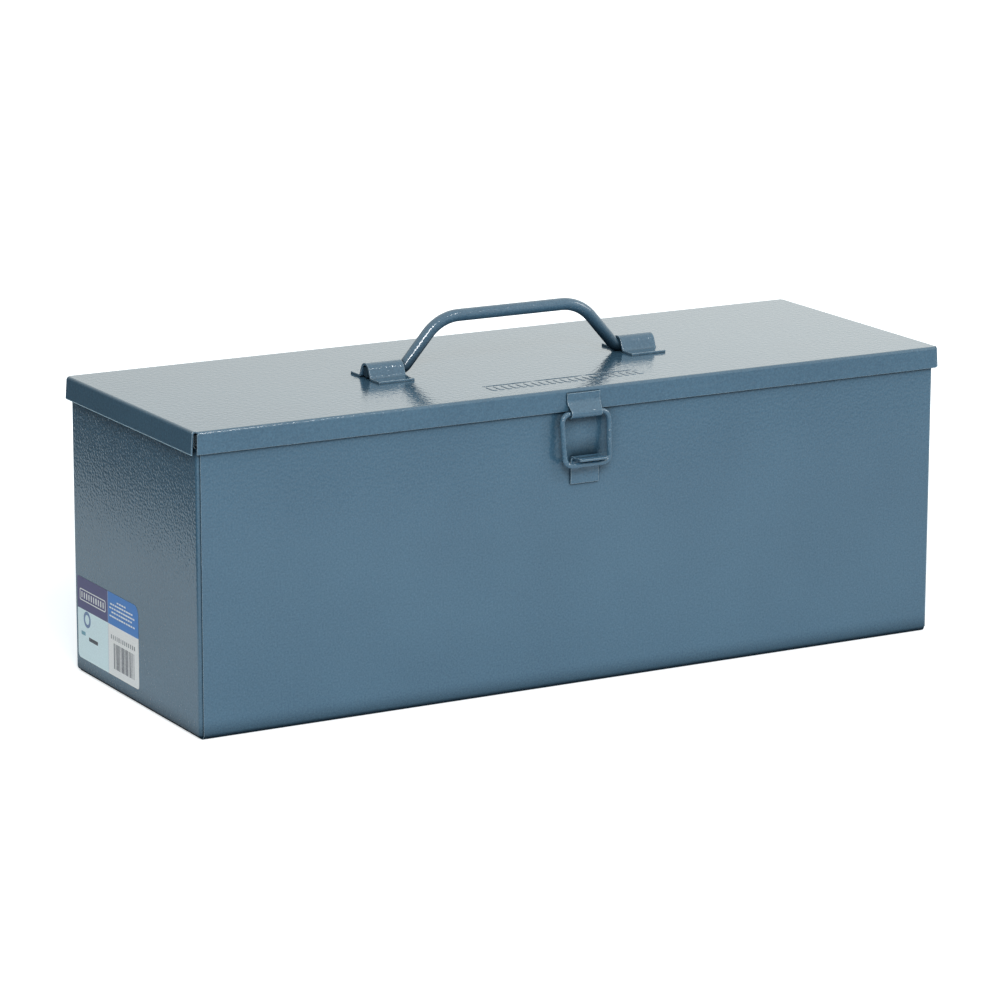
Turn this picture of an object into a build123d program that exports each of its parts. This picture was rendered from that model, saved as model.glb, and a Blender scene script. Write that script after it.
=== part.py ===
from build123d import *
import math
import os

# Steel tool box of folded sheet: a deep case, a shallow lid hinged at the back, a bent bar
# handle that turns in two pressed straps, and a wire loop that hooks under a tongue.
# Millimetres, +Z up, +X along the length, the front faces -Y. The origin is the middle of
# the underside of the case, on the surface that the box stands on.

# Case
CASE_LENGTH = 400.0
CASE_DEPTH = 138.6
CASE_HEIGHT = 143.3
CASE_SHEET = 0.7
FLOOR_BEND = 2.6
END_BEND = 1.7
END_FLANGE = 11.0
CORNER_RELIEF = 4.0
HEM_DEPTH = 6.0
HEM_GAP = 0.3

# Lid
LID_SHEET = 0.7
LID_GAP_ENDS = 1.3
LID_GAP_SIDES = 0.8
LID_FLANGE = 10.5
LID_BEND = 1.5
LID_CORNER_CUT = 2.3
LONG_FLANGE_SET_BACK = 1.6
END_FLANGE_SET_BACK = 2.0
END_FLANGE_FLARE = 4.0
RIM_CLEARANCE = 0.3

# Handle and the straps that hold it
BAR = 6.0
GRIP_RISE = 22.8
GRIP_LENGTH = 76.8
HANDLE_SPAN = 116.8
LOWER_BEND = 5.0
UPPER_BEND = 22.0
HANDLE_TO_FRONT = 4.0
HANDLE_TO_LEFT = 2.0
STRAP_SHEET = 1.1
STRAP_WIDTH = 18.8
STRAP_LENGTH = 29.0
STRAP_FOOT_BEND = 1.2
STRAP_SPLAY = 23.0
BAR_CLEARANCE = 0.3
BAR_LIFT = 0.2
BAR_END_INSIDE = 0.6

# Latch: hanger strip on the lid, wire loop, catch on the case
HANGER_SHEET = 0.9
HANGER_WIDTH = 17.6
HANGER_EYE_WIDTH = 16.4
HANGER_TOP = 1.9
HANGER_BEND_DOWN = 6.6
HANGER_BEND = 4.5
LOOP_WIRE = 2.5
LOOP_WIDTH = 24.0
LOOP_SPLAY = 0.8
LOOP_DROP = 24.5
LOOP_CORNER = 4.0
LOOP_TILT = 5.7
LOOP_CLEARANCE = 0.1
LOOP_BUTT_GAP = 0.6
LATCH_TO_LEFT = 0.5
EYE_OUT = 2.35
EYE_DOWN = 11.4
EYE_WRAP = 228.0
CATCH_SHEET = 0.9
CATCH_WIDTH = 15.1
CATCH_TO_RIGHT = 1.2
CATCH_FOOT = 13.4
CATCH_REACH = 10.2
CATCH_BEND = 2.0
CATCH_NOSE_ROUND = 1.6
CATCH_TROUGH = 0.7
CATCH_NOSE_DROP = 0.5
CATCH_CLEARANCE = 0.3

# Hinges on the back
HINGE_SPACING = 240.0
HINGE_WIDTH = 32.0
HINGE_SHEET = 0.8
HINGE_PIN = 2.5
HINGE_PIN_CLEARANCE = 0.06
HINGE_SIDE_GAP = 0.3
HINGE_ROLL = 292.0
HINGE_BELOW_LID = 1.3
LID_LEAF_TOP = 1.6
CASE_LEAF_LENGTH = 21.0
CASE_LEAF_JOG = 4.5
CASE_LEAF_RISE = 3.4
KNUCKLE_SHARE = 0.36
PIN_HEAD = 3.8
PIN_HEAD_THICKNESS = 0.6

# Places worked out from the sizes above
HALF_LENGTH = CASE_LENGTH / 2
HALF_DEPTH = CASE_DEPTH / 2
LID_TOP = CASE_HEIGHT + RIM_CLEARANCE + LID_SHEET
LID_HALF_LENGTH = HALF_LENGTH + LID_GAP_ENDS + LID_SHEET
LID_HALF_DEPTH = HALF_DEPTH + LID_GAP_SIDES + LID_SHEET
LID_EDGE = LID_TOP - LID_FLANGE
HANDLE_X = -HANDLE_TO_LEFT
HANDLE_Y = -HANDLE_TO_FRONT
HANDLE_Z = LID_TOP + BAR_LIFT + BAR / 2
HANDLE_SLOPE = math.atan2(GRIP_RISE, (HANDLE_SPAN - GRIP_LENGTH) / 2)
BEND_COVERED = math.sqrt((LOWER_BEND - BAR / 2) * BAR_CLEARANCE)
STRAP_START = HANDLE_SPAN / 2 + LOWER_BEND * math.tan(HANDLE_SLOPE / 2) - BEND_COVERED
LATCH_X = -LATCH_TO_LEFT
EYE_Y = -LID_HALF_DEPTH - EYE_OUT
EYE_Z = LID_TOP - EYE_DOWN
EYE_RADIUS = LOOP_WIRE / 2 + LOOP_CLEARANCE
KNUCKLE_BORE = HINGE_PIN / 2 + HINGE_PIN_CLEARANCE
KNUCKLE_RADIUS = KNUCKLE_BORE + HINGE_SHEET
HINGE_Y = LID_HALF_DEPTH + KNUCKLE_RADIUS
HINGE_Z = LID_EDGE - HINGE_BELOW_LID

PARTS_FOLDER = "parts"


def folded(path, thickness, side):
    """Section of a folded sheet: path is one skin, the metal lies on the given side of it."""
    return make_face(offset(path, amount=thickness, side=side, kind=Kind.ARC).edges())


def rolled(leg, bore, turn, thickness, side):
    """Section of a sheet whose end is rolled round a pin, drawn as two lengths and joined."""
    first = JernArc(leg @ 1, leg % 1, bore, turn / 2)
    second = JernArc(first @ 1, first % 1, bore, turn / 2)
    start = folded(Wire([*leg.edges(), *first.edges()]), thickness, side)
    return start + folded(Wire(second.edges()), thickness, side)


def along_x(section, x_low, x_high):
    """Push a section drawn with Y across and Z up from one X to another."""
    placed = Plane.YZ.offset(x_low) * section
    return extrude(placed, amount=x_high - x_low, dir=(1, 0, 0))


def along_y(section, y_low, y_high):
    """Push a section drawn with X across and Z up from one Y to another."""
    placed = Plane(origin=(0, y_low, 0), x_dir=(1, 0, 0), z_dir=(0, -1, 0)) * section
    return extrude(placed, amount=y_high - y_low, dir=(0, 1, 0))


def block(x_low, x_high, y_low, y_high, z_low, z_high):
    """A plain block between the given limits, used as a cutter."""
    size = (x_high - x_low, y_high - y_low, z_high - z_low)
    centre = ((x_low + x_high) / 2, (y_low + y_high) / 2, (z_low + z_high) / 2)
    return Pos(*centre) * Box(*size)


def hem_path(outer, rim, inward):
    """Outer skin of a flat hem, from its free edge inside the case up and over to the wall."""
    roll = CASE_SHEET + HEM_GAP / 2
    inner = outer + inward * 2 * roll
    leg = Line((inner, rim - HEM_DEPTH), (inner, rim - roll))
    turn = JernArc(leg @ 1, leg % 1, roll, 180 * inward)
    return leg + turn


def case_wrapper():
    """One sheet bent up into the front, the floor and the back, with a hemmed rim."""
    rim = CASE_HEIGHT
    roll = CASE_SHEET + HEM_GAP / 2
    front = hem_path(-HALF_DEPTH, rim, 1)
    tray = FilletPolyline(
        (-HALF_DEPTH, rim - roll),
        (-HALF_DEPTH, 0),
        (HALF_DEPTH, 0),
        (HALF_DEPTH, rim - roll),
        radius=FLOOR_BEND,
    )
    back = mirror(front, about=Plane.YZ)
    section = folded(Wire([*front.edges(), *tray.edges(), *back.edges()]), CASE_SHEET, Side.LEFT)
    edge = HALF_LENGTH - END_BEND
    sheet = along_x(section, -edge, edge)
    hem_end = HALF_LENGTH - END_FLANGE - CORNER_RELIEF / 4
    hem_reach = HALF_DEPTH - CASE_SHEET - HEM_GAP / 2
    for x_low, x_high in ((-HALF_LENGTH, -hem_end), (hem_end, HALF_LENGTH)):
        sheet -= block(x_low, x_high, -hem_reach, hem_reach, rim - HEM_DEPTH - 1, rim + 1)
    return sheet


def end_outline(inset):
    """Outline of an end panel seen from the end, drawn in by the given amount."""
    half = HALF_DEPTH - CASE_SHEET - inset
    low = CASE_SHEET + inset
    radius = FLOOR_BEND - CASE_SHEET - inset
    high = CASE_HEIGHT - CASE_SHEET - HEM_GAP / 2 + inset
    corners = Polyline((-half, high), (-half, low), (half, low), (half, high), close=True)
    face = make_face(corners)
    return fillet(face.vertices().group_by(Axis.Y)[0], radius)


def end_panel(side):
    """End pan whose flanges reach in behind the wrapper, with a hemmed top edge."""
    deep = HALF_LENGTH - END_FLANGE
    outer = along_x(end_outline(0), deep, HALF_LENGTH)
    rounded = outer.faces().sort_by(Axis.X)[-1].edges().sort_by(Axis.Z)[:-1]
    outer = fillet(rounded, END_BEND)
    inner = along_x(end_outline(CASE_SHEET), deep - 1, HALF_LENGTH - CASE_SHEET)
    rounded = inner.faces().sort_by(Axis.X)[-1].edges().sort_by(Axis.Z)[:-1]
    inner = fillet(rounded, END_BEND - CASE_SHEET)
    pan = outer - inner
    for y in (-1, 1):
        flank = sorted((y * (HALF_DEPTH - END_BEND - 2 * CASE_SHEET), y * HALF_DEPTH))
        pan -= block(0, HALF_LENGTH, *flank, CASE_HEIGHT - HEM_DEPTH - 1, CASE_HEIGHT)
        corner = sorted((y * (HALF_DEPTH - CASE_SHEET - CORNER_RELIEF), y * HALF_DEPTH))
        bend_end = HALF_LENGTH - END_BEND - CASE_SHEET
        pan -= block(0, bend_end, *corner, 0, CASE_SHEET + CORNER_RELIEF)
    hem = folded(Wire(hem_path(HALF_LENGTH, CASE_HEIGHT, -1).edges()), CASE_SHEET, Side.RIGHT)
    half = HALF_DEPTH - END_BEND - 2 * CASE_SHEET
    panel = pan + along_y(hem, -half, half)
    return panel if side > 0 else mirror(panel, about=Plane.YZ)


def lid_pan():
    """Lid sheet: flat top, four edges turned down, corners left open and punched for relief."""
    long_path = FilletPolyline(
        (-LID_HALF_DEPTH, LID_EDGE),
        (-LID_HALF_DEPTH, LID_TOP),
        (LID_HALF_DEPTH, LID_TOP),
        (LID_HALF_DEPTH, LID_EDGE),
        radius=LID_BEND,
    )
    flare = LID_FLANGE * math.tan(math.radians(END_FLANGE_FLARE))
    end_path = FilletPolyline(
        (-LID_HALF_LENGTH - flare, LID_EDGE),
        (-LID_HALF_LENGTH, LID_TOP),
        (LID_HALF_LENGTH, LID_TOP),
        (LID_HALF_LENGTH + flare, LID_EDGE),
        radius=LID_BEND,
    )
    long_reach = LID_HALF_LENGTH - LONG_FLANGE_SET_BACK
    end_reach = LID_HALF_DEPTH - END_FLANGE_SET_BACK
    pan = along_x(folded(long_path, LID_SHEET, Side.RIGHT), -long_reach, long_reach)
    pan += along_y(folded(end_path, LID_SHEET, Side.RIGHT), -end_reach, end_reach)
    for x in (-LID_HALF_LENGTH, LID_HALF_LENGTH):
        for y in (-LID_HALF_DEPTH, LID_HALF_DEPTH):
            pan -= Pos(x, y, LID_TOP) * Sphere(LID_CORNER_CUT)
    return pan


def handle_strap(side):
    """Strap pressed over the bar: two feet welded flat on the lid, splayed legs and an arch.

    It covers the start of the bar's bend, up to where the bar has used half the clearance.
    """
    bore = BAR / 2 + BAR_CLEARANCE
    foot_bend = STRAP_FOOT_BEND + STRAP_SHEET
    splay = math.radians(STRAP_SPLAY)
    leg_top = (-bore * math.cos(splay), HANDLE_Z - LID_TOP + bore * math.sin(splay))
    climb = leg_top[1] - foot_bend * (1 - math.sin(splay))
    spread = climb * math.tan(splay) + foot_bend * math.cos(splay)
    foot = Line((-STRAP_LENGTH / 2, 0), (leg_top[0] - spread, 0))
    up = JernArc(foot @ 1, foot % 1, foot_bend, 90 - STRAP_SPLAY)
    leg = Line(up @ 1, leg_top)
    arch = JernArc(leg @ 1, leg % 1, bore, 2 * STRAP_SPLAY - 180)
    near = foot + up + leg
    far = mirror(near, about=Plane.YZ)
    path = Wire([*near.edges(), *arch.edges(), *far.edges()])
    strap = along_x(folded(path, STRAP_SHEET, Side.LEFT), 0, STRAP_WIDTH)
    strap = Pos(STRAP_START, 0, 0) * strap
    placed = strap if side > 0 else mirror(strap, about=Plane.YZ)
    return Pos(HANDLE_X, HANDLE_Y, LID_TOP) * placed


def carry_handle():
    """Round bar with four bends: two straight ends that turn in the straps, and the grip."""
    outer_end = STRAP_START + STRAP_WIDTH - BAR_END_INSIDE
    path = FilletPolyline(
        (-outer_end, 0),
        (-HANDLE_SPAN / 2, 0),
        (-GRIP_LENGTH / 2, GRIP_RISE),
        (GRIP_LENGTH / 2, GRIP_RISE),
        (HANDLE_SPAN / 2, 0),
        (outer_end, 0),
        radius=(LOWER_BEND, UPPER_BEND, UPPER_BEND, LOWER_BEND),
    )
    upright = Plane(origin=(HANDLE_X, HANDLE_Y, HANDLE_Z), x_dir=(1, 0, 0), z_dir=(0, -1, 0))
    route = upright * path
    section = Plane(origin=route @ 0, z_dir=route % 0) * Circle(BAR / 2)
    bar = sweep(section, path=route)
    ends = bar.edges().filter_by(GeomType.CIRCLE).sort_by(Axis.X)
    return chamfer([ends[0], ends[-1]], BAR / 12)


def latch_hanger():
    """Strip on the lid's front edge: it leans out and curls under into the loop's eye."""
    bend = (-LID_HALF_DEPTH, LID_TOP - HANGER_BEND_DOWN)
    across = EYE_Y - bend[0]
    down = EYE_Z - bend[1]
    reach = math.hypot(across, down)
    lean = math.atan2(down, across) - math.asin(EYE_RADIUS / reach)
    run = math.sqrt(reach**2 - EYE_RADIUS**2)
    touch = (bend[0] + run * math.cos(lean), bend[1] + run * math.sin(lean))
    strip = FilletPolyline((bend[0], LID_TOP - HANGER_TOP), bend, touch, radius=HANGER_BEND)
    curl = JernArc(strip @ 1, strip % 1, EYE_RADIUS, EYE_WRAP)
    path = Wire([*strip.edges(), *curl.edges()])
    wide = HANGER_WIDTH / 2
    narrow = HANGER_EYE_WIDTH / 2
    hanger = along_x(folded(path, HANGER_SHEET, Side.RIGHT), -wide, wide)
    low = EYE_Z - EYE_RADIUS - 2 * HANGER_SHEET
    outline = Polyline(
        (-narrow, low),
        (narrow, low),
        (narrow, EYE_Z + EYE_RADIUS),
        (wide, bend[1]),
        (wide, LID_TOP),
        (-wide, LID_TOP),
        (-wide, bend[1]),
        (-narrow, EYE_Z + EYE_RADIUS),
        close=True,
    )
    front = -HALF_DEPTH - 4 * EYE_OUT
    return Pos(LATCH_X, 0, 0) * (hanger & along_y(make_face(outline), front, -HALF_DEPTH))


def latch_loop():
    """Wire bent into a ring that hangs in the eye, its butted ends hidden inside the curl."""
    half = LOOP_WIDTH / 2
    top_half = half + LOOP_SPLAY
    gap = LOOP_BUTT_GAP / 2
    path = FilletPolyline(
        (-gap, 0),
        (-top_half, 0),
        (-half, -LOOP_DROP),
        (half, -LOOP_DROP),
        (top_half, 0),
        (gap, 0),
        radius=LOOP_CORNER,
    )
    tilt = math.radians(LOOP_TILT)
    facing = (0, -math.cos(tilt), math.sin(tilt))
    hanging = Plane(origin=(LATCH_X, EYE_Y, EYE_Z), x_dir=(1, 0, 0), z_dir=facing)
    route = hanging * path
    section = Plane(origin=route @ 0, z_dir=route % 0) * Circle(LOOP_WIRE / 2)
    return sweep(section, path=route)


def catch_nose():
    """Outward reach and height of the tongue's nose, just inside the loop's swing."""
    swing = LOOP_DROP - LOOP_WIRE / 2 - CATCH_CLEARANCE
    across = CATCH_REACH - (-HALF_DEPTH - EYE_Y)
    underside = EYE_Z - math.sqrt(swing**2 - across**2)
    return CATCH_REACH, underside + CATCH_SHEET


def latch_catch():
    """Strip welded to the front, its top bent out as a tongue with a rolled nose."""
    reach, nose = catch_nose()
    crest = nose + CATCH_NOSE_DROP
    wall = -HALF_DEPTH
    path = FilletPolyline(
        (wall, nose - CATCH_FOOT),
        (wall, crest + CATCH_TROUGH / 2),
        (wall - reach * 0.42, crest - CATCH_TROUGH),
        (wall - reach * 0.80, crest),
        (wall - reach, nose),
        radius=(CATCH_BEND, 4 * CATCH_BEND, 1.2 * CATCH_BEND),
    )
    section = folded(path, CATCH_SHEET, Side.LEFT)
    half = CATCH_WIDTH / 2
    strip = along_x(section, CATCH_TO_RIGHT - half, CATCH_TO_RIGHT + half)
    plan = Pos(CATCH_TO_RIGHT, wall) * Rectangle(CATCH_WIDTH, 2 * reach)
    plan = fillet(plan.vertices().group_by(Axis.Y)[0], CATCH_NOSE_ROUND)
    column = extrude(Pos(0, 0, nose - 2 * CATCH_FOOT) * plan, amount=4 * CATCH_FOOT)
    return strip & column


def hinge_centre(side):
    """X place of one hinge."""
    return side * HINGE_SPACING / 2


def knuckle_limits(side):
    """Ends of a hinge and of its middle knuckle along X."""
    middle = HINGE_WIDTH * KNUCKLE_SHARE / 2
    centre = hinge_centre(side)
    half = HINGE_WIDTH / 2
    return centre - half, centre - middle, centre + middle, centre + half


def lid_leaf(side):
    """Hinge leaf welded on the lid's back edge, its middle rolled round the pin."""
    skin = HINGE_Y - KNUCKLE_BORE
    leg = Line((skin, LID_TOP - LID_LEAF_TOP), (skin, HINGE_Z))
    section = rolled(leg, KNUCKLE_BORE, HINGE_ROLL, HINGE_SHEET, Side.RIGHT)
    low, middle_low, middle_high, high = knuckle_limits(side)
    leaf = along_x(section, low, high)
    clear = HINGE_Z + KNUCKLE_RADIUS + HINGE_SIDE_GAP
    back = HINGE_Y + 2 * KNUCKLE_RADIUS
    front = HINGE_Y - 2 * KNUCKLE_RADIUS
    leaf -= block(low - 1, middle_low, front, back, HINGE_Z - 2 * KNUCKLE_RADIUS, clear)
    leaf -= block(middle_high, high + 1, front, back, HINGE_Z - 2 * KNUCKLE_RADIUS, clear)
    return leaf


def case_leaf(side):
    """Hinge leaf welded on the case's back wall and stepped out to its two knuckles."""
    skin = HINGE_Y - KNUCKLE_BORE
    wall = HALF_DEPTH + HINGE_SHEET
    step_top = HINGE_Z - CASE_LEAF_RISE
    flat = FilletPolyline(
        (wall, HINGE_Z - CASE_LEAF_LENGTH),
        (wall, step_top - CASE_LEAF_JOG),
        (skin, step_top),
        (skin, HINGE_Z),
        radius=2 * HINGE_SHEET,
    )
    section = rolled(flat, KNUCKLE_BORE, -HINGE_ROLL, HINGE_SHEET, Side.LEFT)
    low, middle_low, middle_high, high = knuckle_limits(side)
    leaf = along_x(section, low, high)
    clear = HINGE_Z - KNUCKLE_RADIUS - HINGE_SIDE_GAP
    top = HINGE_Z + 2 * KNUCKLE_RADIUS
    gap_low = middle_low - HINGE_SIDE_GAP
    gap_high = middle_high + HINGE_SIDE_GAP
    return leaf - block(gap_low, gap_high, HALF_DEPTH, HINGE_Y + 2 * KNUCKLE_RADIUS, clear, top)


def hinge_pin(side):
    """Pin through the three knuckles, its ends headed over."""
    low, _, _, high = knuckle_limits(side)
    length = high - low + 2 * HINGE_PIN_CLEARANCE
    pin = Cylinder(HINGE_PIN / 2, length)
    head = Cylinder(PIN_HEAD / 2, PIN_HEAD_THICKNESS)
    for end in (-1, 1):
        pin += Pos(0, 0, end * (length + PIN_HEAD_THICKNESS) / 2) * head
    rims = pin.edges().filter_by(GeomType.CIRCLE).group_by(Axis.Z)
    outer = [rims[0].sort_by(SortBy.RADIUS)[-1], rims[-1].sort_by(SortBy.RADIUS)[-1]]
    pin = chamfer(outer, PIN_HEAD_THICKNESS / 3)
    return Pos(hinge_centre(side), HINGE_Y, HINGE_Z) * Rot(0, 90, 0) * pin


def build_parts():
    """Every separate piece of the tool box, by name."""
    parts = {
        "case_wrapper": case_wrapper(),
        "lid_pan": lid_pan(),
        "carry_handle": carry_handle(),
        "latch_hanger": latch_hanger(),
        "latch_loop": latch_loop(),
        "latch_catch": latch_catch(),
    }
    for hand, side in (("left", -1), ("right", 1)):
        parts[hand + "_end_panel"] = end_panel(side)
        parts[hand + "_handle_strap"] = handle_strap(side)
        parts[hand + "_hinge_case_leaf"] = case_leaf(side)
        parts[hand + "_hinge_lid_leaf"] = lid_leaf(side)
        parts[hand + "_hinge_pin"] = hinge_pin(side)
    return parts


os.makedirs(PARTS_FOLDER, exist_ok=True)
for name, part in build_parts().items():
    export_step(part, os.path.join(PARTS_FOLDER, name + ".step"))
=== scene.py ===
import math

import bmesh
import bpy
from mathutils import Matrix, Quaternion, Vector


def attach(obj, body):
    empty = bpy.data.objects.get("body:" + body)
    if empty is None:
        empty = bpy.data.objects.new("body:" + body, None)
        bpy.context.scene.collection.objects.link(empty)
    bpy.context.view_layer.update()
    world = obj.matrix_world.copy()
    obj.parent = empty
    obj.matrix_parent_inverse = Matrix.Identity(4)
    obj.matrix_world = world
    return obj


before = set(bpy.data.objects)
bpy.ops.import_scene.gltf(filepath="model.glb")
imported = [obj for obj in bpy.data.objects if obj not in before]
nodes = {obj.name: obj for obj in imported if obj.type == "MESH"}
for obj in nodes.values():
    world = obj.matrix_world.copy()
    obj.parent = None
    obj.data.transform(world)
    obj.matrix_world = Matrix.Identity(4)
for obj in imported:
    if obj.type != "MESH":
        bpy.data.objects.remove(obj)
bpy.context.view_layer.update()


# The case: one mild steel sheet, 0.7 mm thick, folded up into front, floor and back, with two
# end pans spot-welded inside it and a hemmed rim. It is sprayed once, after welding, with a
# hammered alkyd enamel, whose gloss skin dries in small dimples that break up reflections.

MM = 0.001
# The pigment's grain is finer than this, and is drawn as coarse as it needs to show.
GRAIN_MM = 0.9
DRIFT_MM = 60
GRAIN_WEIGHT = 3.0
ENAMEL_DEEP, ENAMEL_PALE = "#3B5A70", "#4B6D83"
# The first of these two colours is painted shade for seams and corners, the second a painted
# highlight on edges.
ENAMEL_PAINTED_SHADE, ENAMEL_EDGE_HIGHLIGHT = "#182833", "#C6D9E4"
ENAMEL_IOR = 1.5
PIGMENT_SPECULAR = 0.5
CLEAR_RESIN = 0.7
EDGE_HIGHLIGHT_MOST = 0.85
SURFACE_SAMPLES = 6


def linear(hex_colour):
    """A colour written as in a paint chart, turned into the linear light that shaders use."""
    parts = [int(hex_colour[i : i + 2], 16) / 255 for i in (1, 3, 5)]
    return (*[c / 12.92 if c <= 0.04045 else ((c + 0.055) / 1.055) ** 2.4 for c in parts], 1)


def add_node(tree, kind, settings=None, inputs=None):
    """Adds one node: settings are its own options, inputs are values or links to its sockets."""
    made = tree.nodes.new(kind)
    for name, value in (settings or {}).items():
        setattr(made, name, value)
    for socket, value in (inputs or {}).items():
        if isinstance(value, bpy.types.NodeSocket):
            tree.links.new(value, made.inputs[socket])
        else:
            made.inputs[socket].default_value = value
    return made


def new_material(name):
    """An empty node material, its tree and the place of a point on the piece."""
    material = bpy.data.materials.new(name)
    material.use_nodes = True
    tree = material.node_tree
    tree.nodes.clear()
    return material, tree, add_node(tree, "ShaderNodeTexCoord").outputs["Object"]


def hammered_enamel(name, dimple_mm, depth_mm, edge_mm, shade_reach_mm):
    """Gloss blue-grey enamel, sized in mm: its dimples, the metal's edge and how far the painted
    shade of nooks reaches.
    """
    material, tree, place = new_material(name)
    noise = {}
    for layer, size_mm, detail, roughness in (
        ("dimples", dimple_mm, 0.0, 0.4),
        ("grain", GRAIN_MM, 2.0, 0.6),
        ("drift", DRIFT_MM, 2.0, 0.5),
    ):
        noise[layer] = add_node(
            tree,
            "ShaderNodeTexNoise",
            {"noise_dimensions": "3D"},
            {
                "Vector": place,
                "Scale": 1 / (size_mm * MM),
                "Detail": detail,
                "Roughness": roughness,
            },
        ).outputs["Fac"]

    # The blue is mottled by its grain, and a little by where the spray fell thicker.
    mottle = add_node(
        tree,
        "ShaderNodeMath",
        {"operation": "MULTIPLY_ADD"},
        {0: noise["grain"], 1: GRAIN_WEIGHT, 2: noise["drift"]},
    )
    shade = add_node(
        tree,
        "ShaderNodeMapRange",
        {},
        {"Value": mottle.outputs[0], "From Min": 1.25, "From Max": 2.75},
    )
    pigment = add_node(
        tree,
        "ShaderNodeMix",
        {"data_type": "RGBA"},
        {"Factor": shade.outputs["Result"], 6: linear(ENAMEL_DEEP), 7: linear(ENAMEL_PALE)},
    )

    # Painted shade: seams, inner corners and faces close under other parts are darkened towards
    # a deep blue by ambient occlusion.
    painted_shade_ao = add_node(
        tree,
        "ShaderNodeAmbientOcclusion",
        {"samples": SURFACE_SAMPLES},
        {"Distance": shade_reach_mm * MM},
    )
    unshaded_share = add_node(
        tree,
        "ShaderNodeMapRange",
        {},
        {"Value": painted_shade_ao.outputs["AO"], "From Min": 0.45, "From Max": 0.95},
    ).outputs["Result"]
    shaded_pigment = add_node(
        tree,
        "ShaderNodeMix",
        {"data_type": "RGBA"},
        {"Factor": unshaded_share, 6: linear(ENAMEL_PAINTED_SHADE), 7: pigment.outputs[2]},
    )
    # The same painted shade also dims both gloss layers in seams and corners.
    shine = {}
    for layer, in_the_open in (("resin", CLEAR_RESIN), ("pigment", PIGMENT_SPECULAR)):
        shine[layer] = add_node(
            tree,
            "ShaderNodeMath",
            {"operation": "MULTIPLY"},
            {0: unshaded_share, 1: in_the_open},
        ).outputs[0]

    # Painted highlight: edges are coloured paler than the sheet, for the light that their
    # rounded paint catches.
    rounded = add_node(
        tree,
        "ShaderNodeBevel",
        {"samples": SURFACE_SAMPLES},
        {"Radius": edge_mm * MM},
    ).outputs["Normal"]
    flat = add_node(tree, "ShaderNodeNewGeometry").outputs["Normal"]
    turned = add_node(
        tree,
        "ShaderNodeVectorMath",
        {"operation": "DOT_PRODUCT"},
        {0: rounded, 1: flat},
    )
    edge_highlight_share = add_node(
        tree,
        "ShaderNodeMapRange",
        {},
        {
            "Value": turned.outputs["Value"],
            "From Min": 0.97,
            "From Max": 0.72,
            "To Max": EDGE_HIGHLIGHT_MOST,
        },
    )
    colour = add_node(
        tree,
        "ShaderNodeMix",
        {"data_type": "RGBA"},
        {"Factor": edge_highlight_share.outputs["Result"], 6: shaded_pigment.outputs[2], 7: linear(ENAMEL_EDGE_HIGHLIGHT)},
    )

    gloss = add_node(
        tree,
        "ShaderNodeMapRange",
        {},
        {
            "Value": noise["grain"],
            "From Min": 0.3,
            "From Max": 0.7,
            "To Min": 0.12,
            "To Max": 0.17,
        },
    )
    skin = add_node(
        tree,
        "ShaderNodeBump",
        {},
        {
            "Strength": 1.0,
            "Distance": depth_mm * MM,
            "Height": noise["dimples"],
            "Normal": rounded,
        },
    ).outputs["Normal"]
    # Resin floats up over the pigment and sets as a second clear gloss surface.
    shader = add_node(
        tree,
        "ShaderNodeBsdfPrincipled",
        {},
        {
            "Base Color": colour.outputs[2],
            "Roughness": gloss.outputs["Result"],
            "Normal": skin,
            "IOR": ENAMEL_IOR,
            "Specular IOR Level": shine["pigment"],
            "Coat Weight": shine["resin"],
            "Coat Roughness": 0.1,
            "Coat IOR": ENAMEL_IOR,
            "Coat Normal": skin,
        },
    )
    add_node(tree, "ShaderNodeOutputMaterial", {}, {"Surface": shader.outputs["BSDF"]})
    return material


def paint(names, material):
    """Gives every named node the same finish."""
    for name in names:
        for slot in nodes[name].material_slots:
            slot.material = material


# The walls' painted shade reaches 10 mm, so it darkens them under the lid's rim and round the
# latch.
wall_enamel = hammered_enamel(
    "hammered_alkyd_enamel_on_walls", dimple_mm=1.3, depth_mm=0.1, edge_mm=0.35, shade_reach_mm=10
)
paint(["case_wrapper", "left_end_panel", "right_end_panel"], wall_enamel)


# The sticker on the left end: clay-coated paper, litho-printed in four flat colours and pressed
# on after the box was painted. The ink is even in colour with a fine tooth, and has a soft
# sheen. Fields, an outline, a ring, lines and bars are all that it carries.

END_X = min(point.co.x for point in nodes["left_end_panel"].data.vertices)
STICKER_BACK, STICKER_FRONT = 0.0652, -0.0033
STICKER_LOW, STICKER_HIGH = 0.0078, 0.0480
STICKER_RADII = (0.0015, 0.0025, 0.0008, 0.0045)
STICKER_SPLIT_Y, STICKER_SPLIT_Z = 0.0304, 0.0324
PLATE_GAP = 0.0003
PAPER_THICK = 0.00012
INK_THICK = 0.00004
INK_BACK = END_X - PAPER_THICK
PRINT_IOR = 1.48
# The paper's tooth and the blots in the inks are finer, and drawn as coarse as needed to show.
TOOTH_MM = 0.7
BLOT_MM = 0.8
FRONT_COLOURS = {"low": "#FAF8F6", "high": "#3580D0"}
BACK_COLOURS = {"low": "#E6FAFE", "high": "#4B457A"}
GAP_COLOUR = "#C3CAD8"
UNDER_THIN_INK = "#B9BEC4"


def rounded_outline(edges, radii, steps=6):
    """Points round a rectangle on the end panel, with a radius for each corner in turn."""
    y_low, y_high, z_low, z_high = edges
    corners = ((y_low, z_low), (y_high, z_low), (y_high, z_high), (y_low, z_high))
    points = []
    for number, ((y, z), radius) in enumerate(zip(corners, radii)):
        centre_y = y + radius * (1 if y == y_low else -1)
        centre_z = z + radius * (1 if z == z_low else -1)
        for step in range(steps + 1):
            angle = math.radians(180 + 90 * (number + step / steps))
            points.append(
                (centre_y + radius * math.cos(angle), centre_z + radius * math.sin(angle))
            )
    return points


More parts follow.
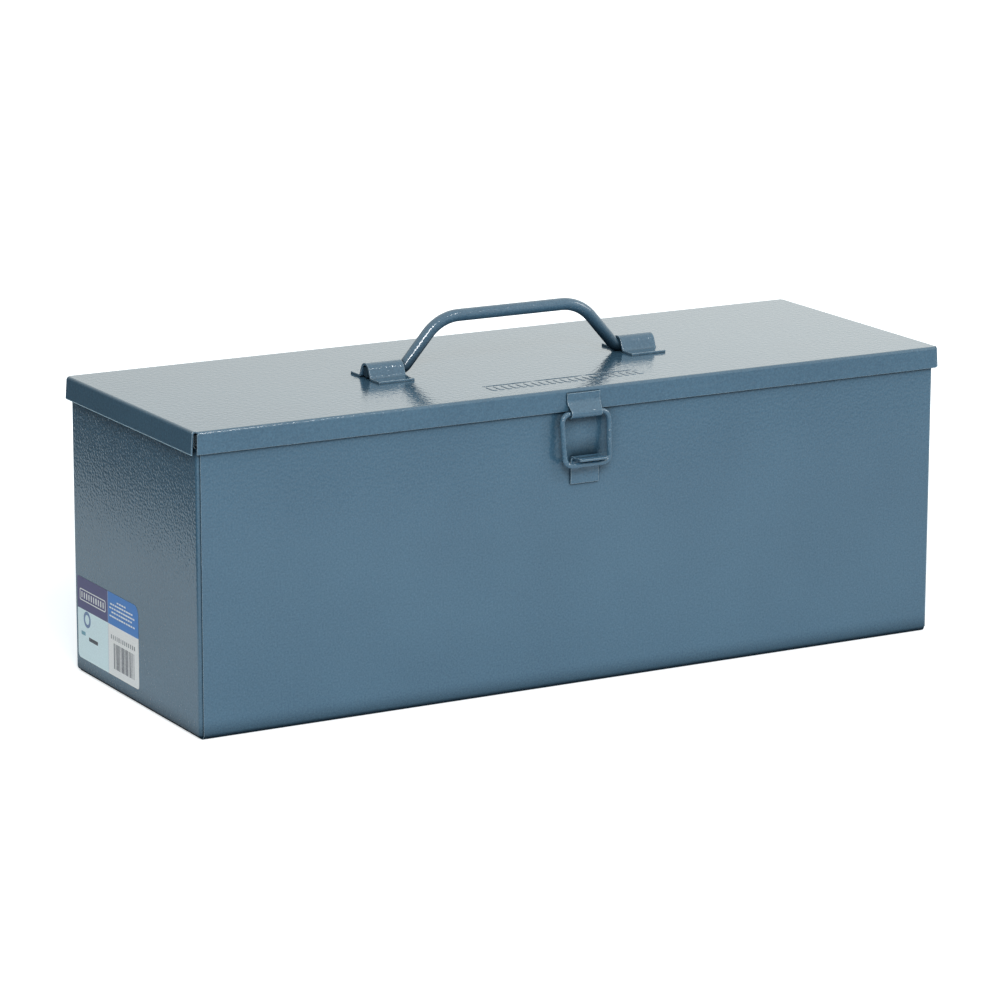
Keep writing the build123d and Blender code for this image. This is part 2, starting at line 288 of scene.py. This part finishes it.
def flat_piece(name, outer, inner, back_x, thick):
    """A closed flat piece on the end panel: a full sheet, or a ring where inner is given."""
    build = bmesh.new()
    levels = []
    for x in (back_x, back_x - thick):
        outlines = [outline for outline in (outer, inner) if outline]
        levels.append([[build.verts.new((x, y, z)) for y, z in outline] for outline in outlines])
    count = len(outer)
    for back_loop, front_loop in zip(*levels):
        for i in range(count):
            j = (i + 1) % count
            build.faces.new((back_loop[i], back_loop[j], front_loop[j], front_loop[i]))
    for loops in levels:
        if inner:
            for i in range(count):
                j = (i + 1) % count
                build.faces.new((loops[0][i], loops[0][j], loops[1][j], loops[1][i]))
        else:
            build.faces.new(loops[0])
    bmesh.ops.recalc_face_normals(build, faces=build.faces)
    mesh = bpy.data.meshes.new(name)
    build.to_mesh(mesh)
    build.free()
    made = bpy.data.objects.new(name, mesh)
    bpy.context.scene.collection.objects.link(made)
    return made


def finish_piece(piece, body, material):
    """Gives a new piece its finish and says which body it moves with."""
    piece.data.materials.clear()
    piece.data.materials.append(material)
    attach(piece, body)


coated_print, tree, place = new_material("litho_print_on_coated_paper")
axes = add_node(tree, "ShaderNodeSeparateXYZ", {}, {0: place})
in_back, in_top = [
    add_node(
        tree,
        "ShaderNodeMath",
        {"operation": "GREATER_THAN"},
        {0: axes.outputs[axis], 1: split},
    ).outputs[0]
    for axis, split in (("Y", STICKER_SPLIT_Y), ("Z", STICKER_SPLIT_Z))
]
low_field, high_field = [
    add_node(
        tree,
        "ShaderNodeMix",
        {"data_type": "RGBA"},
        {"Factor": in_back, 6: linear(FRONT_COLOURS[row]), 7: linear(BACK_COLOURS[row])},
    ).outputs[2]
    for row in ("low", "high")
]
fields = add_node(
    tree,
    "ShaderNodeMix",
    {"data_type": "RGBA"},
    {"Factor": in_top, 6: low_field, 7: high_field},
)
# The plates leave a hair of paper between the fields, half filled by the spread of the ink.
between_plates = add_node(
    tree,
    "ShaderNodeMath",
    {"operation": "COMPARE"},
    {0: axes.outputs["Y"], 1: STICKER_SPLIT_Y, 2: PLATE_GAP},
)
hair = add_node(
    tree,
    "ShaderNodeMath",
    {"operation": "MULTIPLY"},
    {0: between_plates.outputs[0], 1: 0.5},
)
plates = add_node(
    tree,
    "ShaderNodeMix",
    {"data_type": "RGBA"},
    {"Factor": hair.outputs[0], 6: fields.outputs[2], 7: linear(GAP_COLOUR)},
)
tooth = add_node(
    tree,
    "ShaderNodeTexNoise",
    {"noise_dimensions": "3D"},
    {"Vector": place, "Scale": 1 / (TOOTH_MM * MM), "Detail": 2.0},
)
uneven = add_node(
    tree,
    "ShaderNodeMapRange",
    {},
    {
        "Value": tooth.outputs["Fac"],
        "From Min": 0.3,
        "From Max": 0.7,
        "To Min": 0.93,
        "To Max": 1.05,
    },
)
printed = add_node(
    tree,
    "ShaderNodeVectorMath",
    {"operation": "SCALE"},
    {0: plates.outputs[2], "Scale": uneven.outputs["Result"]},
)
sheen = add_node(
    tree,
    "ShaderNodeBsdfPrincipled",
    {},
    {
        "Base Color": printed.outputs["Vector"],
        "Roughness": 0.4,
        "IOR": PRINT_IOR,
        "Coat Weight": 0.3,
    },
)
add_node(tree, "ShaderNodeOutputMaterial", {}, {"Surface": sheen.outputs["BSDF"]})

sheet_outline = rounded_outline(
    (STICKER_FRONT, STICKER_BACK, STICKER_LOW, STICKER_HIGH), STICKER_RADII
)
sticker = flat_piece("sticker_sheet", sheet_outline, None, END_X, PAPER_THICK)
finish_piece(sticker, "case", coated_print)


def ink(name, hex_colour, uneven_share):
    """A thick printed ink: its colour wanders a little, as it takes to the paper unevenly."""
    material, tree, place = new_material(name)
    blot = add_node(
        tree,
        "ShaderNodeTexNoise",
        {"noise_dimensions": "3D"},
        {"Vector": place, "Scale": 1 / (BLOT_MM * MM), "Detail": 1.5},
    )
    pale = add_node(
        tree,
        "ShaderNodeMapRange",
        {},
        {
            "Value": blot.outputs["Fac"],
            "From Min": 0.35,
            "From Max": 0.65,
            "To Max": uneven_share,
        },
    )
    tint = add_node(
        tree,
        "ShaderNodeMix",
        {"data_type": "RGBA"},
        {"Factor": pale.outputs["Result"], 6: linear(hex_colour), 7: linear(UNDER_THIN_INK)},
    )
    film = add_node(
        tree,
        "ShaderNodeBsdfPrincipled",
        {},
        {"Base Color": tint.outputs[2], "Roughness": 0.5, "IOR": PRINT_IOR},
    )
    add_node(tree, "ShaderNodeOutputMaterial", {}, {"Surface": film.outputs["BSDF"]})
    return material


white_ink = ink("opaque_white_ink", "#F2F2F0", 0.15)
ring_ink = ink("slate_blue_ink", "#6A86B4", 0.35)
teal_ink = ink("teal_ink", "#6FA9BC", 0.3)
black_ink = ink("black_ink_on_paper", "#34343A", 0.3)
grey_ink = ink("thin_black_ink_on_paper", "#77757A", 0.45)

# Each single mark: its ink, then for its outer and its inner outline the front, back, low and
# high edges with the corner radius, and the steps round a corner.
single_marks = {
    "sticker_frame": (
        white_ink,
        ((0.0330, 0.0625, 0.0366, 0.0424), 0.0011),
        ((0.0336, 0.0619, 0.0371, 0.0419), 0.0007),
        6,
    ),
    "sticker_ring": (
        ring_ink,
        ((0.0505, 0.0585, 0.0241, 0.0321), 0.0040),
        ((0.0521, 0.0569, 0.0257, 0.0305), 0.0024),
        9,
    ),
    "sticker_teal_bar": (teal_ink, ((0.0567, 0.0612, 0.0197, 0.0215), 0.0003), None, 6),
    "sticker_dark_bar": (black_ink, ((0.0425, 0.0527, 0.0181, 0.0199), 0.0004), None, 6),
}
for name, (finish, *shapes, steps) in single_marks.items():
    outer, inner = [
        rounded_outline(shape[0], [shape[1]] * 4, steps) if shape else None for shape in shapes
    ]
    mark = flat_piece(name, outer, inner, INK_BACK, INK_THICK)
    finish_piece(mark, "case", finish)


def row_tree():
    """Node tree of a straight row of like marks, each drawn out by a random share."""
    tree = bpy.data.node_groups.new("row_of_marks", "GeometryNodeTree")
    wanted = (
        ("Start", "NodeSocketVector"),
        ("Step", "NodeSocketVector"),
        ("Count", "NodeSocketInt"),
        ("Size", "NodeSocketVector"),
        ("Least Share", "NodeSocketVector"),
        ("Rounding", "NodeSocketInt"),
        ("Seed", "NodeSocketInt"),
        ("Finish", "NodeSocketMaterial"),
    )
    sockets = {}
    for name, kind in wanted:
        made = tree.interface.new_socket(name, in_out="INPUT", socket_type=kind)
        sockets[name] = made.identifier
    tree.interface.new_socket("Geometry", in_out="OUTPUT", socket_type="NodeSocketGeometry")
    given = add_node(tree, "NodeGroupInput").outputs
    line = add_node(
        tree,
        "GeometryNodeMeshLine",
        {"mode": "OFFSET"},
        {"Count": given["Count"], "Start Location": given["Start"], "Offset": given["Step"]},
    )
    block = add_node(tree, "GeometryNodeMeshCube", {}, {"Size": given["Size"]})
    pillow = add_node(
        tree,
        "GeometryNodeSubdivisionSurface",
        {},
        {"Mesh": block.outputs["Mesh"], "Level": given["Rounding"], "Edge Crease": 0.35},
    )
    share = add_node(
        tree,
        "FunctionNodeRandomValue",
        {"data_type": "FLOAT_VECTOR"},
        {0: given["Least Share"], 1: (1.0, 1.0, 1.0), "Seed": given["Seed"]},
    )
    spread = add_node(
        tree,
        "GeometryNodeInstanceOnPoints",
        {},
        {
            "Points": line.outputs["Mesh"],
            "Instance": pillow.outputs["Mesh"],
            "Scale": share.outputs[0],
        },
    )
    real = add_node(tree, "GeometryNodeRealizeInstances", {}, {0: spread.outputs["Instances"]})
    dressed = add_node(
        tree,
        "GeometryNodeSetMaterial",
        {},
        {"Geometry": real.outputs[0], "Material": given["Finish"]},
    )
    add_node(tree, "NodeGroupOutput", {}, {0: dressed.outputs["Geometry"]})
    return tree, sockets


marks_tree, marks_sockets = row_tree()


def mark_rows(name, rows, body, finish):
    """One plain mesh of several rows of marks. Each row gives the tree's inputs by name."""
    joined = bmesh.new()
    for row in rows:
        bare = bpy.data.meshes.new(name)
        carrier = bpy.data.objects.new(name, bare)
        bpy.context.scene.collection.objects.link(carrier)
        modifier = carrier.modifiers.new("marks", "NODES")
        modifier.node_group = marks_tree
        for label, value in {**row, "Finish": finish}.items():
            modifier[marks_sockets[label]] = value
        bpy.context.view_layer.update()
        solved = carrier.evaluated_get(bpy.context.evaluated_depsgraph_get())
        plain = bpy.data.meshes.new_from_object(solved)
        joined.from_mesh(plain)
        bpy.data.objects.remove(carrier)
        bpy.data.meshes.remove(plain)
        bpy.data.meshes.remove(bare)
    mesh = bpy.data.meshes.new(name)
    joined.to_mesh(mesh)
    joined.free()
    piece = bpy.data.objects.new(name, mesh)
    bpy.context.scene.collection.objects.link(piece)
    finish_piece(piece, body, finish)


def printed_row(first_y, height, pitch, count, width, tall, least_width, least_tall, seed):
    """A row of printed marks that runs from the sticker's back towards its front."""
    return {
        "Start": (INK_BACK - INK_THICK / 2, first_y, height),
        "Step": (0.0, -pitch, 0.0),
        "Count": count,
        "Size": (INK_THICK, width, tall),
        "Least Share": (1.0, least_width, least_tall),
        "Rounding": 0,
        "Seed": seed,
    }


# Five broken white lines on the blue field, given by their two ends and their height, and
# plain white bars inside the white outline.
DASH_PITCH, DASH_WIDTH, DASH_TALL = 0.0026, 0.0025, 0.0008
FIRST_DASH_SEED = 3
broken_lines = (
    (0.0204, 0.0099, 0.0443),
    (0.0278, 0.0024, 0.0425),
    (0.0288, 0.0004, 0.0406),
    (0.0264, 0.0030, 0.0387),
    (0.0288, 0.0000, 0.0366),
)
white_rows = []
for number, (back, front, height) in enumerate(broken_lines):
    count = round((back - front) / DASH_PITCH)
    white_rows.append(
        printed_row(
            first_y=back - DASH_PITCH / 2,
            height=height,
            pitch=(back - front) / count,
            count=count,
            width=DASH_WIDTH,
            tall=DASH_TALL,
            least_width=0.6,
            least_tall=0.9,
            seed=FIRST_DASH_SEED + number,
        )
    )
white_rows.append(
    printed_row(
        first_y=0.0600,
        height=0.0395,
        pitch=0.0027,
        count=10,
        width=0.0014,
        tall=0.0030,
        least_width=0.7,
        least_tall=1.0,
        seed=21,
    )
)
mark_rows("sticker_white_lines", white_rows, "case", white_ink)

# On the white field: a row of upright bars, and a row of short marks above it.
grey_rows = [
    printed_row(
        first_y=0.0238,
        height=0.0176,
        pitch=0.00147,
        count=16,
        width=0.0013,
        tall=0.0124,
        least_width=0.25,
        least_tall=1.0,
        seed=8,
    ),
    printed_row(
        first_y=0.0268,
        height=0.0266,
        pitch=0.00215,
        count=13,
        width=0.0010,
        tall=0.0022,
        least_width=0.6,
        least_tall=0.9,
        seed=5,
    ),
]
mark_rows("sticker_grey_bars", grey_rows, "case", grey_ink)


# The catch on the front: a strip of 0.9 mm steel, its top bent out as a tongue. It is
# spot-welded on before painting, so one coat runs over both. On small pressings the enamel's
# dimples are a little smaller and deeper.

pressing_enamel = hammered_enamel(
    "hammered_alkyd_enamel_on_pressings",
    dimple_mm=1.2,
    depth_mm=0.14,
    edge_mm=0.5,
    shade_reach_mm=0.5,
)
paint(["latch_catch"], pressing_enamel)


# Two butt hinges at the back: leaves rolled round a steel pin and welded on before painting,
# so the coat covers leaves, knuckles and pins alike.

for hand in ("left", "right"):
    paint([hand + "_hinge_case_leaf", hand + "_hinge_lid_leaf"], pressing_enamel)
    paint([hand + "_hinge_pin"], pressing_enamel)


# The lid: one sheet with four edges folded down, its corners left open and punched so that
# the metal doesn't tear. It lay flat while the enamel dried, so its dimples have levelled out
# more than those of the walls.

lid_enamel = hammered_enamel(
    "hammered_alkyd_enamel_on_lid", dimple_mm=1.8, depth_mm=0.085, edge_mm=0.35, shade_reach_mm=0.8
)
paint(["lid_pan"], lid_enamel)


# The pressed bars near the lid's front edge: a row of low bars and a rule above it, stamped up
# out of the sheet before it was folded. They are soft-edged and stand only 0.23 mm proud, under
# the same enamel as the lid, so they show by their shading alone.

LID_TOP = 0.1443
PRESSED_RISE = 0.00023
PRESSED_MIDDLE = LID_TOP - PRESSED_RISE / 2
PRESSED_TALL = 3 * PRESSED_RISE
PRESSED_ROUNDING = 3
pressed_rows = [
    {
        "Start": (-0.0395, -0.0528, PRESSED_MIDDLE),
        "Step": (0.0040, 0.0, 0.0),
        "Count": 21,
        "Size": (0.0030, 0.0090, PRESSED_TALL),
        "Least Share": (0.7, 0.85, 1.0),
        "Rounding": PRESSED_ROUNDING,
        "Seed": 11,
    },
    {
        "Start": (-0.0275, -0.0462, PRESSED_MIDDLE),
        "Step": (0.0275, 0.0, 0.0),
        "Count": 3,
        "Size": (0.0272, 0.0016, PRESSED_TALL),
        "Least Share": (1.0, 1.0, 1.0),
        "Rounding": PRESSED_ROUNDING,
        "Seed": 12,
    },
]
mark_rows("lid_pressed_bars", pressed_rows, "lid", lid_enamel)


# The beads under the lid's end flanges: wet enamel drains down each flange to its raw lower
# edge and sets there as a thin round bead. Its pale colour is a painted highlight, for the
# bright line that the flange's lower edge catches from the floor; it has no dimples and shines
# softly.

BEAD_RADIUS = 0.0004
BEAD_ROUNDNESS = 2
BEAD_DRIFT_MM = 2.5
BEAD_HIGHLIGHT_DEEP, BEAD_HIGHLIGHT_PALE = "#93BCD2", "#C2E0F0"
FLANGE_LOW_X, FLANGE_LOW_Z = 0.202330, 0.133750
FLANGE_HALF_WIDTH = 0.0686
bead_painted_highlight, tree, place = new_material("drained_enamel_bead_painted_as_highlight")
bead_drift = add_node(
    tree,
    "ShaderNodeTexNoise",
    {"noise_dimensions": "3D"},
    {"Vector": place, "Scale": 1 / (BEAD_DRIFT_MM * MM), "Detail": 2.0},
)
bead_highlight_tint = add_node(
    tree,
    "ShaderNodeMix",
    {"data_type": "RGBA"},
    {"Factor": bead_drift.outputs["Fac"], 6: linear(BEAD_HIGHLIGHT_DEEP), 7: linear(BEAD_HIGHLIGHT_PALE)},
)
bead_shader = add_node(
    tree,
    "ShaderNodeBsdfPrincipled",
    {},
    {"Base Color": bead_highlight_tint.outputs[2], "Roughness": 0.4, "IOR": 1.4},
)
add_node(tree, "ShaderNodeOutputMaterial", {}, {"Surface": bead_shader.outputs["BSDF"]})
for hand, side in (("left", -1), ("right", 1)):
    name = hand + "_flange_bead"
    line = bpy.data.curves.new(name, "CURVE")
    line.dimensions = "3D"
    line.bevel_depth = BEAD_RADIUS
    line.bevel_resolution = BEAD_ROUNDNESS
    line.use_fill_caps = True
    strand = line.splines.new("POLY")
    strand.points.add(1)
    for point, y in zip(strand.points, (-FLANGE_HALF_WIDTH, FLANGE_HALF_WIDTH)):
        point.co = (side * FLANGE_LOW_X, y, FLANGE_LOW_Z, 1)
    drawn = bpy.data.objects.new(name, line)
    bpy.context.scene.collection.objects.link(drawn)
    solved = drawn.evaluated_get(bpy.context.evaluated_depsgraph_get())
    bead_mesh = bpy.data.meshes.new_from_object(solved)
    bpy.data.objects.remove(drawn)
    for face in bead_mesh.polygons:
        face.use_smooth = True
    bead = bpy.data.objects.new(name, bead_mesh)
    bpy.context.scene.collection.objects.link(bead)
    finish_piece(bead, "lid", bead_painted_highlight)


# The straps and the carrying handle: two saddles pressed from 1.1 mm strip and spot-welded on
# the lid, and a 6 mm bar bent in four places that turns in them. On the bar the small dimples
# break each highlight into a string of dots, and its underside is darkened with painted shade.

paint(["left_handle_strap", "right_handle_strap"], pressing_enamel)
bar_enamel = hammered_enamel(
    "hammered_alkyd_enamel_on_round_bar",
    dimple_mm=1.1,
    depth_mm=0.11,
    edge_mm=0.2,
    shade_reach_mm=28,
)
paint(["carry_handle"], bar_enamel)


# The latch: a strip welded on the lid's front edge, curled under to hold a loop of 2.5 mm wire
# that swings over the catch's tongue. Both are painted with the box, and on the thin wire the
# enamel gathers into its deepest dimples.

paint(["latch_hanger"], pressing_enamel)
wire_enamel = hammered_enamel(
    "hammered_alkyd_enamel_on_wire", dimple_mm=1.0, depth_mm=0.25, edge_mm=0.2, shade_reach_mm=1.2
)
paint(["latch_loop"], wire_enamel)


# The studio floor: matt white paper under the box, on a grey table that starts beyond the
# paper's left and near edges. The paint mirrors the table as darker zones, while the camera
# sees plain white there and the box's soft shadow close by.

FLOOR_HALF = 12
TABLE_GREY, PAPER_WHITE = "#5A5A5A", "#E2ECF3"
LEFT_EDGE = (-0.40, -0.35)
LEFT_EDGE_SLANT = -1.2
NEAR_EDGE = (-0.60, -0.47)
NEAR_TABLE_SHARE = 0.55
SHADOW_REACH = (0.3, 0.7)
SHADOW_LIFT = (0.6, 1.0)
floor_mesh = bpy.data.meshes.new("studio_floor")
shape = bmesh.new()
bmesh.ops.create_grid(shape, x_segments=1, y_segments=1, size=FLOOR_HALF)
shape.to_mesh(floor_mesh)
shape.free()
floor = bpy.data.objects.new("studio_floor", floor_mesh)
bpy.context.scene.collection.objects.link(floor)
floor_material, tree, place = new_material("matt_white_paper_on_a_grey_table")
along = add_node(tree, "ShaderNodeSeparateXYZ", {}, {0: place})
# Behind the box's left end the paper stops short; in front it runs further to the left.
ahead = add_node(
    tree,
    "ShaderNodeMath",
    {"operation": "MINIMUM"},
    {0: along.outputs["Y"], 1: 0.0},
)
from_edge = add_node(
    tree,
    "ShaderNodeMath",
    {"operation": "MULTIPLY_ADD"},
    {0: ahead.outputs[0], 1: LEFT_EDGE_SLANT, 2: along.outputs["X"]},
)
right_of_edge = add_node(
    tree,
    "ShaderNodeMapRange",
    {"interpolation_type": "SMOOTHSTEP"},
    {"Value": from_edge.outputs[0], "From Min": LEFT_EDGE[0], "From Max": LEFT_EDGE[1]},
)
behind_edge = add_node(
    tree,
    "ShaderNodeMapRange",
    {"interpolation_type": "SMOOTHSTEP"},
    {
        "Value": along.outputs["Y"],
        "From Min": NEAR_EDGE[0],
        "From Max": NEAR_EDGE[1],
        "To Min": NEAR_TABLE_SHARE,
    },
)
paper_share = add_node(
    tree,
    "ShaderNodeMath",
    {"operation": "MULTIPLY"},
    {0: right_of_edge.outputs["Result"], 1: behind_edge.outputs["Result"]},
)
surface = add_node(
    tree,
    "ShaderNodeMix",
    {"data_type": "RGBA"},
    {"Factor": paper_share.outputs[0], 6: linear(TABLE_GREY), 7: linear(PAPER_WHITE)},
)
matt = add_node(tree, "ShaderNodeBsdfDiffuse", {}, {"Color": surface.outputs[2]})
# The table is there for reflections alone, so the camera sees it as white, and the paper too
# once it is out of the shadow's reach.
distance = add_node(tree, "ShaderNodeVectorMath", {"operation": "LENGTH"}, {0: place})
past_shadow = add_node(
    tree,
    "ShaderNodeMapRange",
    {"interpolation_type": "SMOOTHSTEP"},
    {
        "Value": distance.outputs["Value"],
        "From Min": SHADOW_REACH[0],
        "From Max": SHADOW_REACH[1],
        "To Min": SHADOW_LIFT[0],
        "To Max": SHADOW_LIFT[1],
    },
)
off_paper = add_node(
    tree,
    "ShaderNodeMath",
    {"operation": "SUBTRACT"},
    {0: 1.0, 1: paper_share.outputs[0]},
)
whitened = add_node(
    tree,
    "ShaderNodeMath",
    {"operation": "MAXIMUM"},
    {0: past_shadow.outputs["Result"], 1: off_paper.outputs[0]},
)
floor_rays = add_node(tree, "ShaderNodeLightPath")
seen_by_camera = add_node(
    tree,
    "ShaderNodeMath",
    {"operation": "MULTIPLY"},
    {0: floor_rays.outputs["Is Camera Ray"], 1: whitened.outputs[0]},
)
lift = add_node(
    tree,
    "ShaderNodeEmission",
    {},
    {"Color": linear("#FFFFFF"), "Strength": seen_by_camera.outputs[0]},
)
both = add_node(tree, "ShaderNodeAddShader", {}, {0: matt.outputs[0], 1: lift.outputs[0]})
add_node(tree, "ShaderNodeOutputMaterial", {}, {"Surface": both.outputs[0]})
floor_mesh.materials.append(floor_material)


# The studio surround: white all round to the camera. The paint mirrors it dimmer on the left,
# so the left end and its flange keep their depth, and white again overhead. Everything else
# gets an even, weaker light from it.

LEFT_TO_RIGHT = (-0.5, 0.55)
SIDE_GLOW = (0.1, 1.04)
OVERHEAD = (0.25, 0.6)
EVEN_LIGHT = 0.45
SURROUND_TINT = "#FAFFFD"
world = bpy.data.worlds.new("studio_surround")
bpy.context.scene.world = world
world.use_nodes = True
tree = world.node_tree
tree.nodes.clear()
surround_rays = add_node(tree, "ShaderNodeLightPath")
toward = add_node(tree, "ShaderNodeTexCoord").outputs["Generated"]
toward_axes = add_node(tree, "ShaderNodeSeparateXYZ", {}, {0: toward})
wall_glow = add_node(
    tree,
    "ShaderNodeMapRange",
    {},
    {
        "Value": toward_axes.outputs["X"],
        "From Min": LEFT_TO_RIGHT[0],
        "From Max": LEFT_TO_RIGHT[1],
        "To Min": SIDE_GLOW[0],
        "To Max": SIDE_GLOW[1],
    },
)
overhead_glow = add_node(
    tree,
    "ShaderNodeMapRange",
    {},
    {"Value": toward_axes.outputs["Z"], "From Min": OVERHEAD[0], "From Max": OVERHEAD[1]},
)
glow = add_node(
    tree,
    "ShaderNodeMath",
    {"operation": "MAXIMUM"},
    {0: wall_glow.outputs["Result"], 1: overhead_glow.outputs["Result"]},
)
given_off = add_node(
    tree,
    "ShaderNodeMapRange",
    {},
    {
        "Value": surround_rays.outputs["Is Glossy Ray"],
        "To Min": EVEN_LIGHT,
        "To Max": glow.outputs[0],
    },
)
seen_white = add_node(
    tree,
    "ShaderNodeMath",
    {"operation": "MAXIMUM"},
    {0: surround_rays.outputs["Is Camera Ray"], 1: surround_rays.outputs["Is Transmission Ray"]},
).outputs[0]
strength = add_node(
    tree,
    "ShaderNodeMapRange",
    {},
    {"Value": seen_white, "To Min": given_off.outputs["Result"], "To Max": 1.0},
)
surround_colour = add_node(
    tree,
    "ShaderNodeMix",
    {"data_type": "RGBA"},
    {"Factor": seen_white, 6: linear(SURROUND_TINT), 7: linear("#FFFFFF")},
)
sky = add_node(
    tree,
    "ShaderNodeBackground",
    {},
    {"Color": surround_colour.outputs[2], "Strength": strength.outputs["Result"]},
)
add_node(tree, "ShaderNodeOutputWorld", {}, {"Surface": sky.outputs[0]})


# The lamps: a large soft box in front on the left as the main light, a weak one at the right
# to open the shadows, and a small one overhead that draws the fine dots along the bends.

LAMP_AIM = Vector((0, 0, 0.1))
for name, lamp_place, size, watts in (
    ("key_soft_box", (-0.72, -1.8, 1.35), 0.7, 28),
    ("side_soft_box", (1.7, -0.9, 1.1), 0.7, 6),
    ("top_soft_box", (0.6, -1.3, 1.5), 0.2, 3.5),
):
    lamp = bpy.data.lights.new(name, "AREA")
    lamp.shape = "SQUARE"
    lamp.size = size
    lamp.energy = watts
    lamp_object = bpy.data.objects.new(name, lamp)
    lamp_object.location = lamp_place
    facing = LAMP_AIM - Vector(lamp_place)
    lamp_object.rotation_euler = facing.to_track_quat("-Z", "Y").to_euler()
    lamp_object.visible_camera = False
    bpy.context.scene.collection.objects.link(lamp_object)


# The camera: a long lens about 2.2 m away, a little above the box and to its left, at the
# photograph's angle. Its place, direction and slight roll come from a fit to the box's corners.

CAMERA_PLACE = (-1.03637, -1.82942, 0.57965)
CAMERA_DIRECTION = (0.47754, 0.84707, -0.23327)
CAMERA_ROLL_DEG = 0.152
LENS_MM, SENSOR_MM = 160.32, 36
camera = bpy.data.cameras.new("camera")
camera.sensor_width = SENSOR_MM
camera.lens = LENS_MM
camera.clip_end = 100
camera_object = bpy.data.objects.new("camera", camera)
camera_object.location = CAMERA_PLACE
camera_object.rotation_mode = "QUATERNION"
turn = Vector(CAMERA_DIRECTION).to_track_quat("-Z", "Y")
roll = Quaternion((0, 0, 1), math.radians(CAMERA_ROLL_DEG))
camera_object.rotation_quaternion = turn @ roll
bpy.context.scene.collection.objects.link(camera_object)
bpy.context.scene.camera = camera_object
bpy.context.scene.view_settings.view_transform = "Standard"
